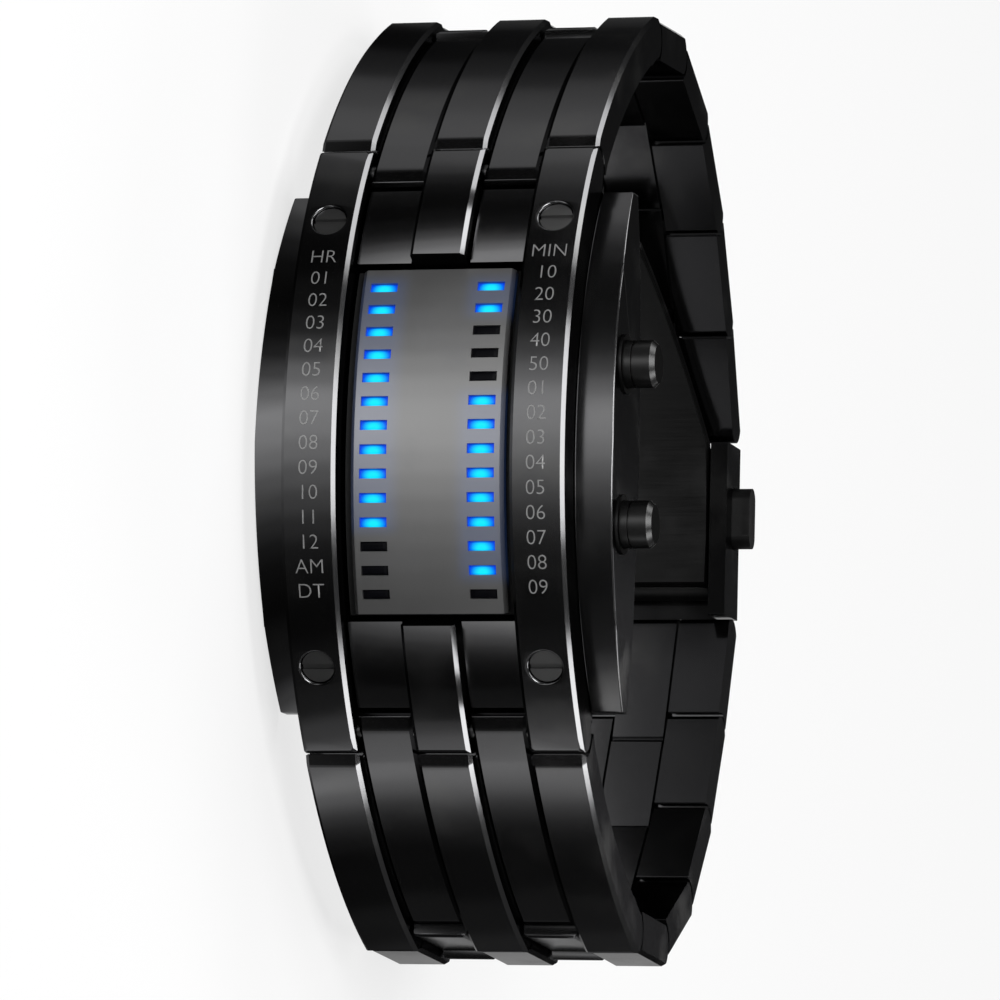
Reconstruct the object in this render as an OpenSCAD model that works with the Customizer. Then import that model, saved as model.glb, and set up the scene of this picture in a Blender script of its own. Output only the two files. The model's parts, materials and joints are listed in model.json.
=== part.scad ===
// Bracelet watch with two columns of light windows, lying on its 9 o'clock side.
// +Z points to 3 o'clock, the display faces -Y, 12 o'clock lies towards -X.

/* [Case] */
// Outer radius of the curved case rails
case_r = 35.4; // [32:0.1:40]
// Half of the angle between the two case end pins
case_half_angle = 39; // [30:0.1:40]
// Depth from the front of the rails to the flat back of the case frame
case_depth = 11; // [10.6:0.1:12.5]
// Wall around the movement pocket, along the band
pocket_half_length = 14.4; // [12:0.1:15]
// Half width of the movement pocket
pocket_half_width = 8.2; // [7:0.1:8.4]
// Thickness of the case back
back_t = 1.1; // [0.8:0.1:1.6]

/* [Side bars] */
// How far a side bar stands out from the rails at its middle
bar_out = 3; // [2:0.1:4]
// How much narrower a side bar is at its ends
bar_taper = 0.5; // [0.4:0.1:1.6]
// Half length of a side bar
bar_half_length = 19.8; // [15:0.1:21]
// Depth from the front of the rails to the front of a side bar
bar_drop = 3.3; // [2:0.1:5]
// Radius of a side bar's front
bar_front_r = 31; // [28:0.5:50]

/* [Display] */
// Gap beside the display plate
plate_side_gap = 0.8; // [0.5:0.05:1.2]
// Plate that is left beyond the first and last windows
plate_end = 0.6; // [0.3:0.05:1]
// Depth of the display plate below the rails
plate_drop = 1.5; // [1:0.1:1.8]
// Thickness of the display plate
plate_t = 0.9; // [0.6:0.1:1.2]
// Light windows in each column
window_rows = 14; // [6:1:14]
// Distance from row to row
window_pitch = 1.825; // [1.5:0.005:1.85]
// Width of a window
window_w = 2.1; // [1.5:0.05:2.4]
// Height of a window
window_h = 0.75; // [0.5:0.05:1]
// Plate that is left beside the windows
window_edge = 0.7; // [0.5:0.05:1.2]

/* [Bracelet] */
// Distance from one link column to the next
column_pitch = 4.4; // [4:0.1:5]
// Running gap between neighbouring columns
column_gap = 0.2; // [0.15:0.01:0.3]
// Thickness of a link at its raised columns
link_t = 3.2; // [2.8:0.1:3.4]
// How much lower the two inner columns are
column_step = 0.75; // [0.4:0.05:1]
// Radius of a long first link's outer curve
long_curve_r = 48; // [36:0.5:60]
// Distance between the two pins of a long first link, along its outer curve
long_pitch = 24; // [22:0.25:27]
// Distance between the two pins of a short link
short_pitch = 9.1; // [8.8:0.1:10]
// Length of the clasp cover
clasp_length = 14; // [12:0.5:18]
// Turn from the first short link to the second
link_turn = 28; // [24:0.5:30]
// How much less each following joint turns
turn_fade = 7; // [4:0.5:8]
// Radius of the link pins
pin_r = 0.6; // [0.5:0.05:0.75]
// How far a round link end reaches beyond half the link's thickness
knuckle_spare = 0.15; // [0.12:0.01:0.25]
// Gap between a rounded end and the hollow that it turns in
knuckle_gap = 0.3; // [0.25:0.01:0.4]
// Bevel along the link edges
link_bevel = 0.28; // [0.1:0.01:0.35]

/* [Clasp] */
// Thickness of the clasp blades
blade_t = 0.9; // [0.7:0.05:1]
// Width of the clasp blades at the cover
blade_w = 18.4; // [16:0.1:18.6]
// Width of the blades at their far end
blade_tip_w = 9.6; // [8:0.1:14]
// Length of the blades along their curve
blade_length = 30; // [26:0.5:32]
// Length of a clasp button along the band
button_length = 5; // [4:0.1:6]
// How far a clasp button stands out
button_out = 1.5; // [1.2:0.1:2]

/* [Pushers] */
// Distance between the two pushers
pusher_spacing = 12.1; // [11:0.1:14]
// Radius of a pusher
pusher_r = 1.8; // [1.4:0.05:2]
// How far a pusher's sleeve stands out
sleeve_out = 0.1; // [0.1:0.1:0.6]
// How far a pusher stands out beyond its sleeve
cap_out = 2.4; // [1.8:0.1:3]
// Travel of a pusher
pusher_travel = 0.8; // [0.5:0.1:1]

/* [Hidden] */
$fn = 64;

// Clearances: a pressed fit, a running fit, and the air around a cut
fit = 0.02;
run_fit = 0.05;
over = 1;

// Columns are counted -2 to 2 from the middle of the band
column_w = column_pitch - column_gap;
half_band = 2 * column_pitch + column_w / 2;
mid_z = half_band + bar_out;
raised_columns = [-2, 0, 2];
low_columns = [-1, 1];

// Radii about the axis of the case's curve
pin_arc_r = case_r - link_t / 2;
link_inner_r = case_r - link_t;
knuckle_r = link_t / 2 + knuckle_spare;
knuckle_cut_r = knuckle_r + knuckle_gap;
frame_r = link_inner_r - knuckle_gap;
plate_r = case_r - plate_drop;
back_y = case_depth - case_r;
web_step = column_step + 0.3;
web_inside = 0.4;
web_back = 0.1;

// Angles about that axis, measured from the middle of the case
knuckle_angle = knuckle_cut_r / pin_arc_r * 180 / PI;
long_angle = long_pitch / long_curve_r * 180 / PI;
window_gap = 1.5 * column_pitch + column_gap / 2;
plate_half_width = window_gap - plate_side_gap;
window_side = plate_half_width - window_edge - window_w / 2;
plate_half_angle = (window_rows * window_pitch / 2 + plate_end) / plate_r * 180 / PI;
window_angle = plate_half_angle + 0.7;
screw_angle = case_half_angle - 10.2;

// Pins of the 12 o'clock side as [up, back] places, from the case to the clasp
function arc_place(angle, r) = [r * sin(angle), -r * cos(angle)];

// A long link's curve runs on from the case's, about an axis of its own
long_axis = (long_curve_r - case_r) * [-sin(case_half_angle), cos(case_half_angle)];
long_end = long_axis + arc_place(case_half_angle + long_angle, long_curve_r - link_t / 2);

// Each joint between short links turns less than the one before. Their first direction
// follows from how far down the five have to reach to meet the clasp.
function total(list) = list * [for (value = list) 1];
function turn_to(i) = (i - 2) * link_turn - (i - 2) * (i - 3) / 2 * turn_fade;
turn_cos = total([for (i = [2 : 6]) cos(turn_to(i))]);
turn_sin = total([for (i = [2 : 6]) sin(turn_to(i))]);
cover_half = clasp_length / 2;
short_reach = short_pitch * norm([turn_cos, turn_sin]);
first_direction = acos((cover_half + knuckle_cut_r - long_end[0]) / short_reach)
    - atan2(turn_sin, turn_cos);
function short_direction(i) = first_direction + turn_to(i);
function pin_place(i) =
    i == 0 ? arc_place(case_half_angle, pin_arc_r)
    : i == 1 ? long_end
    : pin_place(i - 1) + short_pitch * [cos(short_direction(i)), sin(short_direction(i))];

// The clasp lies square to the case, between the last pins of the two sides
last_pin = pin_place(6);
cover_rise = 0.3;
cover_t = 1.2;
cover_back = last_pin[1] + link_t / 2 + cover_rise;
cover_wall = 1.4;
cover_wall_drop = 5;
arc_y = (case_r - cover_back) / 2;

// The blades curve about an axis of their own, inside the links
blade_outer_r = 28.9;
blade_axis_back = last_pin[1] - link_t / 2 + 0.5 - blade_outer_r;
blade_gap = 0.15;
inner_blade_r = blade_outer_r - blade_t - blade_gap;
hinge_r = blade_outer_r - blade_t - blade_gap / 2;
barrel_r = 1;
blade_pin_r = 0.45;
tip_side_knuckle = blade_tip_w / 3 - 0.1;
tip_knuckle = blade_tip_w / 3;
cover_hinge_r = blade_outer_r + 0.5;
cover_barrel_r = 0.85;
cover_hinge_angle = asin((cover_half - 2) / cover_hinge_r);
blade_tip_angle = blade_length / hinge_r * 180 / PI - cover_hinge_angle;
function back_place(angle, r) = [r * sin(angle), blade_axis_back + r * cos(angle)];
cover_hinge_place = back_place(-cover_hinge_angle, cover_hinge_r);
blade_hinge_place = back_place(blade_tip_angle, hinge_r);

// Screws through the rails, and of the case back
screw_r = 0.6;
screw_head_r = 1.25;
screw_head_t = 0.6;
screw_sunk = 0.28;
screw_length = 3.5;
slot_w = 0.4;
slot_depth = 0.3;
recess_depth = 0.9;
back_screw_head_r = 1.15;
back_screw_head_t = 0.55;
back_screw_length = 1.9;
back_slot_w = 0.3;
back_slot_depth = 0.28;

// Metal left beyond the blind end of a pin's bore, and the pin's play there
pin_wall = 0.8;
pin_inset = 0.3;

// Pushers, on the 3 o'clock bar
pusher_y = -case_r + bar_drop + 3.6;
sleeve_bore_r = pusher_r + run_fit;
sleeve_r = sleeve_bore_r + 0.4;
stem_r = 0.6;
seal_r = 1.18;
seal_t = 0.88;
cap_bevel = 0.35;
groove_w = 0.15;
spring_room = 1.8;
pusher_start = half_band + spring_room;
sleeve_end = half_band + bar_out + sleeve_out;
groove_start = sleeve_end + 0.6;
pusher_end = sleeve_end + cap_out;

// Clasp buttons, in the cover's side walls
button_up = 1;
button_back = cover_back - 1.85;
button_half = 1.1;
latch_back = cover_back - cover_t - 1.1;
shank_half = 0.45;
spring_outer_r = 0.45;
shank_inside = 2.2;
latch_half = 3.4;

// Movement
board_r = frame_r - 0.6;
board_t = 0.5;
chip_top = plate_r - 0.55;
holder_r = board_r - board_t - 0.1;
cell_r = 6.25;
cell_t = 2;
cell_side = 7;
clip_t = 0.3;
gasket_t = 0.5;
gasket_w = 0.9;
back_half_length = pocket_half_length + 4;
back_screw_x = pocket_half_length + 2.6;
back_screw_z = 6;

module placed() {
    translate([0, arc_y, mid_z]) children();
}

// A piece on the 6 o'clock side mirrors the one on the 12 o'clock side
module on_side(side) {
    if (side == "a") children();
    else mirror([1, 0, 0]) children();
}

// Round bar across the band at an [up, back] place
module cross_bar(place, r, half_length) {
    translate([-place[0], place[1], 0]) cylinder(r = r, h = 2 * half_length, center = true);
}

// Square-edged band about the axis of the case's curve
module band(r_in, r_out, half_w, angle_0, angle_1) {
    rotate([0, 0, -90 - angle_1]) rotate_extrude(angle = angle_1 - angle_0, $fn = 180)
        translate([r_in, -half_w]) square([r_out - r_in, 2 * half_w]);
}

// The same band with bevelled outer edges
module bevelled_band(r_in, r_out, half_w, angle_0, angle_1) {
    b = link_bevel;
    rotate([0, 0, -90 - angle_1]) rotate_extrude(angle = angle_1 - angle_0, $fn = 180)
        polygon([[r_in, -half_w], [r_out - b, -half_w], [r_out, b - half_w],
            [r_out, half_w - b], [r_out - b, half_w], [r_in, half_w]]);
}

// Moves a piece that points along +X to stand on the case's curve
module on_arc(angle, r, z) {
    rotate([0, 0, -90 - angle]) translate([r, 0, z]) children();
}

module case_frame() {
    color("#16171a") placed() difference() {
        union() {
            intersection() {
                cylinder(r = frame_r, h = 2 * half_band, center = true, $fn = 180);
                translate([-case_r, back_y - case_r, -half_band])
                    cube([2 * case_r, case_r, 2 * half_band]);
            }
            for (side = ["a", "b"], column = low_columns) on_side(side)
                translate([0, 0, column * column_pitch])
                    band(frame_r - 0.5, plate_r, column_w / 2, window_angle + 0.3,
                        case_half_angle - knuckle_angle);
        }
        movement_pocket();
        band(board_r - over, case_r, window_gap - 0.15, -window_angle, window_angle);
        gasket_ring(fit);
        back_screw_places() cylinder(r = screw_r + fit, h = back_screw_length + 0.2);
        screw_places() rotate([0, 90, 0]) translate([0, 0, -screw_length - 0.1])
            cylinder(r = screw_r + fit, h = screw_length + 0.5);
        pusher_places() cylinder(r = stem_r + run_fit, h = half_band + over);
        pusher_places() translate([0, 0, half_band - seal_t - fit])
            cylinder(r = seal_r + fit, h = 2 * seal_t);
    }
}

module movement_pocket() {
    intersection() {
        cylinder(r = board_r, h = 2 * pocket_half_width, center = true, $fn = 180);
        translate([-pocket_half_length, -case_r, -pocket_half_width])
            cube([2 * pocket_half_length, case_r, 2 * pocket_half_width]);
    }
}

module gasket_ring(extra) {
    wide = gasket_w + 2 * extra;
    half_x = pocket_half_length + 0.4 - extra;
    half_z = pocket_half_width + 0.4 - extra;
    translate([0, back_y + extra, 0]) rotate([90, 0, 0]) difference() {
        linear_extrude(gasket_t + 2 * extra)
            square([2 * (half_x + wide), 2 * (half_z + wide)], center = true);
        translate([0, 0, -over]) linear_extrude(gasket_t + 3 * over)
            square([2 * half_x, 2 * half_z], center = true);
    }
}

// Each screw points out along the curve's radius
module screw_places() {
    for (side = ["a", "b"], column = [-2, 2]) on_side(side)
        on_arc(screw_angle, case_r, column * column_pitch) children();
}

// Each screw of the case back points into the frame
module back_screw_places() {
    for (x = [-1, 1], z = [-1, 1])
        translate([x * back_screw_x, back_y, z * back_screw_z]) rotate([90, 0, 0]) children();
}

module pusher_places() {
    for (side = [-1, 1]) translate([side * pusher_spacing / 2, pusher_y, 0]) children();
}

// Everything between the two case pins, and the round ends about them
module case_length() {
    reach = 2 * case_r;
    translate([0, 0, -half_band - over]) linear_extrude(2 * half_band + 2 * over) polygon([[0, 0],
        [-reach * sin(case_half_angle), -reach * cos(case_half_angle)],
        [reach * sin(case_half_angle), -reach * cos(case_half_angle)]]);
    for (side = ["a", "b"]) on_side(side) cross_bar(pin_place(0), knuckle_r, half_band + over);
}

module rail(column) {
    reach = case_half_angle + 2 * knuckle_angle;
    placed() difference() {
        intersection() {
            translate([0, 0, column * column_pitch])
                bevelled_band(frame_r + fit, case_r, column_w / 2, -reach, reach);
            case_length();
        }
        screw_places() rotate([0, 90, 0]) {
            translate([0, 0, -2 * link_t]) cylinder(r = screw_r + fit, h = 3 * link_t);
            translate([0, 0, -recess_depth]) cylinder(r = screw_head_r + 0.07, h = 2 * recess_depth);
        }
        for (side = ["a", "b"]) on_side(side) pin_bore(0);
    }
}

// A pin sits in a blind bore, open at the 9 o'clock side
module pin_bore(i) {
    p = pin_place(i);
    translate([-p[0], p[1], -half_band - over]) 
        cylinder(r = pin_r + fit, h = 2 * half_band + over - pin_wall);
}

module pin_rod(i) {
    p = pin_place(i);
    translate([-p[0], p[1], pin_inset - half_band])
        cylinder(r = pin_r, h = 2 * half_band - pin_wall - pin_inset - 0.1);
}

module link_pin(side, i) {
    color("#3a3c40") placed() on_side(side) pin_rod(i);
}

module rail_left() {
    color("#111214") rail(-2);
}

module rail_right() {
    color("#111214") rail(2);
}

module bridge(side) {
    color("#111214") placed() on_side(side) difference() {
        intersection() {
            bevelled_band(frame_r + fit, case_r, column_w / 2, window_angle + 0.1,
                case_half_angle + 2 * knuckle_angle);
            case_length();
        }
        pin_bore(0);
    }
}

module bridge_top() {
    bridge("a");
}

module bridge_bottom() {
    bridge("b");
}

module case_pins() {
    link_pin("a", 0);
    link_pin("b", 0);
}

// Curved guard, narrower at its ends, drawn for the 3 o'clock side
module side_bar_shape() {
    plan_r = (bar_half_length * bar_half_length + bar_taper * bar_taper) / (2 * bar_taper);
    face = half_band + bar_out;
    intersection() {
        translate([0, 0, half_band + fit]) linear_extrude(bar_out + over) intersection() {
            translate([0, bar_front_r - case_r + bar_drop]) circle(r = bar_front_r, $fn = 180);
            translate([-bar_half_length, -case_r])
                square([2 * bar_half_length, back_y + back_t + case_r]);
        }
        translate([0, back_y + back_t + over, face - plan_r]) rotate([90, 0, 0])
            cylinder(r = plan_r, h = case_r, $fn = 180);
    }
}

module side_bar_left() {
    color("#111214") placed() mirror([0, 0, 1]) side_bar_shape();
}

module side_bar_right() {
    color("#111214") placed() difference() {
        side_bar_shape();
        pusher_places() cylinder(r = sleeve_r + fit, h = sleeve_end + over);
    }
}

module rail_screws() {
    color("#26282b") placed() screw_places() rotate([0, 90, 0]) difference() {
        union() {
            translate([0, 0, -screw_sunk - screw_head_t]) cylinder(r = screw_head_r, h = screw_head_t);
            translate([0, 0, -screw_length]) cylinder(r = screw_r, h = screw_length - 0.5);
        }
        translate([-slot_w / 2, -2, -screw_sunk - slot_depth]) cube([slot_w, 4, over]);
    }
}

// Every light window, as a block that points out along the curve's radius
module window_places(r) {
    step = window_pitch / plate_r * 180 / PI;
    for (row = [0 : window_rows - 1], side = [-1, 1])
        on_arc(((window_rows - 1) / 2 - row) * step, r, side * window_side) children();
}

module display_plate() {
    color("#6f7276") placed() difference() {
        bevelled_band(plate_r - plate_t, plate_r, plate_half_width, -plate_half_angle, plate_half_angle);
        window_places(plate_r) cube([3, window_h, window_w], center = true);
    }
}

module display_bezel() {
    color("#0b0b0c") placed() difference() {
        band(board_r + 0.1, plate_r - plate_t - fit, window_gap - 0.2, 0.1 - window_angle,
            window_angle - 0.1);
        window_places(plate_r)
            cube([2 * (plate_r - board_r), window_h + 0.2, window_w + 0.2], center = true);
    }
}

module lamp_chips() {
    chip_h = chip_top - board_r;
    color("#3aa8ff") placed() window_places(board_r + chip_h / 2)
        cube([chip_h - fit, window_h - 0.1, window_w - 0.1], center = true);
}

module circuit_board() {
    color("#0f3d2a") placed() difference() {
        band(board_r - board_t, board_r - fit, window_gap - 0.3, 0.6 - plate_half_angle,
            plate_half_angle - 0.6);
        pusher_places() cylinder(r = stem_r + 0.4, h = half_band);
    }
}

// Fills the pocket behind the board, with room for the cells, the chip and the crystal
module movement_holder() {
    half_x = pocket_half_length - 0.1;
    half_z = pocket_half_width - 0.1;
    color("#2b2c2e") placed() difference() {
        intersection() {
            cylinder(r = holder_r, h = 2 * half_z, center = true, $fn = 180);
            translate([-half_x, -case_r, -half_z]) cube([2 * half_x, case_r + back_y - 0.05, 2 * half_z]);
        }
        cell_places() cylinder(r = cell_r + 0.1, h = cell_t + 2 * over);
        translate([-3, -holder_r - over, -3]) cube([6, 2.6, 6]);
        translate([4, -holder_r - over, -2.4]) cube([2.4, 3.5, 4.8]);
        translate([-cell_side - 2, back_y - clip_t - 0.15, -1.6]) cube([2 * cell_side + 4, 2, 3.2]);
        pusher_places() cylinder(r = stem_r + 0.4, h = half_band);
    }
}

// Each cell's axis points back, from the cell's inner face
module cell_places() {
    for (side = [-1, 1]) translate([side * cell_side, back_y - clip_t - 0.1 - cell_t, 0])
        rotate([-90, 0, 0]) children();
}

module battery_cells() {
    color("#b9bcc0") placed() cell_places() cylinder(r = cell_r, h = cell_t);
}

module battery_clip() {
    color("#c2a252") placed() translate([-cell_side - 1.9, back_y - clip_t - 0.08, -1.5])
        cube([2 * cell_side + 3.8, clip_t, 3]);
}

module controller_chip() {
    color("#1a1a1c") placed() translate([-2.5, 0.05 - sqrt(pow(board_r - board_t, 2) - 6.25), -2.5])
        cube([5, 1, 5]);
}

module quartz_crystal() {
    color("#c9ccd0") placed() translate([5.2, 1 - sqrt(pow(board_r - board_t, 2) - 36), -2])
        cylinder(r = 0.8, h = 4);
}

module case_back() {
    color("#2b2d30") placed() difference() {
        translate([-back_half_length, back_y + fit, -half_band + 0.2])
            cube([2 * back_half_length, back_t, 2 * half_band - 0.4]);
        back_screw_places() translate([0, 0, -2 * back_t]) cylinder(r = screw_r + fit, h = 3 * back_t);
        back_screw_places() translate([0, 0, back_screw_head_t + 0.08 - 2 * back_t])
            cylinder(r = back_screw_head_r + fit, h = back_t);
    }
}

module case_back_gasket() {
    color("#0c0c0c") placed() gasket_ring(0);
}

module case_back_screws() {
    color("#77797c") placed() back_screw_places() difference() {
        union() {
            translate([0, 0, -back_t + fit]) cylinder(r = back_screw_head_r, h = back_screw_head_t);
            translate([0, 0, 0.1 - back_t]) cylinder(r = screw_r, h = back_t - 0.1 + back_screw_length);
        }
        translate([-2, -back_slot_w / 2, back_slot_depth - back_t - over]) cube([4, back_slot_w, over]);
    }
}

module pusher_sleeves() {
    color("#17181a") placed() pusher_places() difference() {
        translate([0, 0, half_band + fit]) cylinder(r = sleeve_r, h = sleeve_end - half_band - fit);
        cylinder(r = sleeve_bore_r, h = sleeve_end + over);
    }
}

module pusher_seals() {
    color("#0c0c0c") placed() pusher_places() translate([0, 0, half_band - seal_t]) difference() {
        cylinder(r = seal_r, h = seal_t - fit);
        translate([0, 0, -over]) cylinder(r = stem_r + fit, h = seal_t + 2 * over);
    }
}

module pusher(side) {
    color("#17181a") placed() translate([side * pusher_spacing / 2, pusher_y, 0]) {
        translate([0, 0, pocket_half_width - 0.9])
            cylinder(r = stem_r, h = pusher_start - pocket_half_width + 0.9 + over);
        difference() {
            rotate_extrude() polygon([[0, pusher_start], [pusher_r, pusher_start],
                [pusher_r, pusher_end - cap_bevel], [pusher_r - cap_bevel, pusher_end], [0, pusher_end]]);
            translate([0, 0, groove_start]) difference() {
                cylinder(r = 2 * pusher_r, h = groove_w);
                translate([0, 0, -over]) cylinder(r = pusher_r - groove_w, h = groove_w + 2 * over);
            }
        }
    }
}

module pusher_upper() {
    pusher(-1);
}

module pusher_lower() {
    pusher(1);
}

module pusher_spring(side) {
    color("#8d8f92") placed() translate([side * pusher_spacing / 2, pusher_y, half_band + 0.05])
        difference() {
            cylinder(r = pusher_r - 0.05, h = spring_room - 0.1);
            translate([0, 0, -over]) cylinder(r = stem_r + 0.1, h = spring_room + 2 * over);
        }
}

module pusher_spring_upper() {
    pusher_spring(-1);
}

module pusher_spring_lower() {
    pusher_spring(1);
}

// Bevelled bar of link i, reaching past both its pins
module link_stock(i, half_w, inside, drop, bevel) {
    spare = knuckle_r + over;
    grow = spare / pin_arc_r * 180 / PI;
    if (i == 1)
        translate([-long_axis[0], long_axis[1], 0])
            rotate([0, 0, -90 - case_half_angle - long_angle - grow])
                rotate_extrude(angle = long_angle + 2 * grow, $fn = 180)
                    translate([long_curve_r - link_t / 2, 0]) bar_section(half_w, inside, drop, bevel);
    else
        translate([-pin_place(i - 1)[0], pin_place(i - 1)[1], 0])
            rotate([0, 0, 180 - short_direction(i)]) translate([-spare, 0, 0]) rotate([90, 0, 90])
                linear_extrude(short_pitch + 2 * spare) bar_section(half_w, inside, drop, bevel);
}

// Cross-section of a bar, drawn about its pin line: x is outwards, y is across the band
module bar_section(half_w, inside, drop, bevel) {
    low = inside - link_t / 2;
    top = link_t / 2 - drop;
    polygon([[low, -half_w], [top - bevel, -half_w], [top, bevel - half_w],
        [top, half_w - bevel], [top - bevel, half_w], [low, half_w]]);
}

// Everything between the near pin and the far pin of link i
module pin_to_pin(i) {
    reach = 2 * long_curve_r;
    end = case_half_angle + long_angle;
    translate([0, 0, -half_band - over]) linear_extrude(2 * half_band + 2 * over)
        if (i == 1)
            translate([-long_axis[0], long_axis[1]]) polygon([[0, 0],
                [-reach * sin(end), -reach * cos(end)],
                [-reach * sin(case_half_angle), -reach * cos(case_half_angle)]]);
        else
            translate([-pin_place(i - 1)[0], pin_place(i - 1)[1]])
                rotate(180 - short_direction(i)) translate([0, -link_t]) square([short_pitch, 2 * link_t]);
}

// A column has a round end about each pin that it holds, and a hollow about the others
module link_column(i, column, drop, round_near, round_far) {
    difference() {
        intersection() {
            translate([0, 0, column * column_pitch])
                link_stock(i, column_w / 2, 0, drop, link_bevel);
            union() {
                pin_to_pin(i);
                if (round_near) cross_bar(pin_place(i - 1), knuckle_r, half_band + over);
                if (round_far) cross_bar(pin_place(i), knuckle_r, half_band + over);
            }
        }
        if (!round_near) cross_bar(pin_place(i - 1), knuckle_cut_r, half_band + over);
        if (!round_far) cross_bar(pin_place(i), knuckle_cut_r, half_band + over);
    }
}

// Joins the columns between the hollows
module link_web(i, closed) {
    hollow = knuckle_cut_r + web_back;
    difference() {
        intersection() {
            link_stock(i, half_band - web_back, web_inside, web_step, 0);
            pin_to_pin(i);
        }
        cross_bar(pin_place(i - 1), hollow, half_band + over);
        if (!closed) cross_bar(pin_place(i), hollow, half_band + over);
    }
}

// Two low tongues turn on the near pin, and three raised fingers hold the far pin.
// The last link of the 6 o'clock side is closed at its far end.
module link(side, i) {
    closed = side == "b" && i == 6;
    color("#121315") placed() on_side(side) difference() {
        union() {
            link_web(i, closed);
            for (column = raised_columns) link_column(i, column, 0, false, true);
            for (column = low_columns) link_column(i, column, column_step, true, closed);
        }
        cross_bar(pin_place(i - 1), pin_r + run_fit, half_band - 0.2);
        pin_bore(i);
    }
}

module link_a1() {
    link("a", 1);
}

module link_a2() {
    link("a", 2);
}

module link_a3() {
    link("a", 3);
}

module link_a4() {
    link("a", 4);
}

module link_a5() {
    link("a", 5);
}

module link_a6() {
    link("a", 6);
}

module link_b1() {
    link("b", 1);
}

module link_b2() {
    link("b", 2);
}

module link_b3() {
    link("b", 3);
}

module link_b4() {
    link("b", 4);
}

module link_b5() {
    link("b", 5);
}

module link_b6() {
    link("b", 6);
}

module pin_a1() {
    link_pin("a", 1);
}

module pin_a2() {
    link_pin("a", 2);
}

module pin_a3() {
    link_pin("a", 3);
}

module pin_a4() {
    link_pin("a", 4);
}

module pin_a5() {
    link_pin("a", 5);
}

module pin_a6() {
    link_pin("a", 6);
}

module pin_b1() {
    link_pin("b", 1);
}

module pin_b2() {
    link_pin("b", 2);
}

module pin_b3() {
    link_pin("b", 3);
}

module pin_b4() {
    link_pin("b", 4);
}

module pin_b5() {
    link_pin("b", 5);
}

module pin_b6() {
    link_pin("b", 6);
}

// Band about the clasp blades' own axis, with angles measured from the back towards 12 o'clock
module back_band(r_in, r_out, half_w, angle_0, angle_1) {
    translate([0, blade_axis_back, 0]) rotate([0, 0, 90 + angle_0])
        rotate_extrude(angle = angle_1 - angle_0, $fn = 180)
            translate([r_in, -half_w]) square([r_out - r_in, 2 * half_w]);
}

// Blades keep their full width under the cover and taper from there to the tip
module blade_plan() {
    tip = back_place(blade_tip_angle, hinge_r)[0] + 2;
    tall = 2 * case_r;
    translate([0, tall, 0]) rotate([90, 0, 0]) linear_extrude(2 * tall) polygon([
        [tall, -blade_w / 2], [-cover_half, -blade_w / 2], [-tip, -blade_tip_w / 2],
        [-tip, blade_tip_w / 2], [-cover_half, blade_w / 2], [tall, blade_w / 2]]);
}

module clasp_cover() {
    color("#121315") placed() difference() {
        union() {
            cover_block(cover_back - cover_t, cover_t, half_band, -half_band);
            for (side = [-1, 1]) translate([0, 0, side * (half_band - cover_wall / 2)])
                cover_block(cover_back - cover_wall_drop, cover_wall_drop, cover_wall / 2, -cover_wall / 2);
            for (column = low_columns) translate([0, 0, column * column_pitch]) cover_tongue();
            translate([-button_up - 1.5, latch_back, -latch_half])
                cube([3, cover_back - cover_t + 0.2 - latch_back, 2 * latch_half]);
        }
        cross_bar(last_pin, pin_r + run_fit, half_band + over);
        cross_bar(cover_hinge_place, blade_pin_r + fit, half_band - 0.5);
        for (side = [-1, 1]) button_place(side) button_section(button_half, 0.08, 3);
    }
}

// A slab of the cover, between two depths and two places across the band
module cover_block(start, depth, high, low) {
    translate([-cover_half, start, low]) cube([2 * cover_half, depth, high - low]);
}

// Tongue that turns on the last pin of the 12 o'clock side
module cover_tongue() {
    outer = last_pin[1] + link_t / 2 - column_step;
    inner = last_pin[1] - link_t / 2;
    half_w = column_w / 2;
    translate([-last_pin[0], inner, -half_w]) cube([knuckle_cut_r + 0.5, outer - inner, column_w]);
    intersection() {
        translate([-last_pin[0] - 2 * knuckle_r, inner, -half_w])
            cube([4 * knuckle_r, outer - inner, column_w]);
        cross_bar(last_pin, knuckle_r, half_w);
    }
}

// Puts a button that points out along +Z into its side wall
module button_place(side) {
    translate([-button_up, button_back, 0]) mirror([0, 0, side < 0 ? 1 : 0])
        translate([0, 0, half_band - cover_wall + 1.05]) children();
}

// Long section with round ends, from the wall's inside outwards
module button_section(half_h, extra, height) {
    reach = button_length / 2 - half_h;
    translate([0, 0, extra > 0 ? -over - 0.5 : 0]) linear_extrude(height) union() {
        square([2 * reach, 2 * (half_h + extra)], center = true);
        for (x = [-reach, reach]) translate([x, 0]) circle(r = half_h + extra);
    }
}

module clasp_button(side) {
    color("#121315") placed() button_place(side) {
        button_section(button_half, 0, cover_wall - 1.05 + button_out);
        translate([-1.6, -shank_half, -1.05 - shank_inside])
            cube([3.2, 2 * shank_half, shank_inside + 1.05 + 0.2]);
    }
}

module clasp_button_left() {
    clasp_button(-1);
}

module clasp_button_right() {
    clasp_button(1);
}

module clasp_spring(side) {
    spring_end = half_band - cover_wall - shank_inside;
    color("#8d8f92") placed() translate([-button_up, button_back, 0])
        mirror([0, 0, side < 0 ? 1 : 0]) translate([0, 0, latch_half + fit]) difference() {
            cylinder(r = spring_outer_r - 0.05, h = spring_end - latch_half - 2 * fit);
            translate([0, 0, -over]) cylinder(r = spring_outer_r - 0.2, h = spring_end);
        }
}

module clasp_spring_left() {
    clasp_spring(-1);
}

module clasp_spring_right() {
    clasp_spring(1);
}

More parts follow.
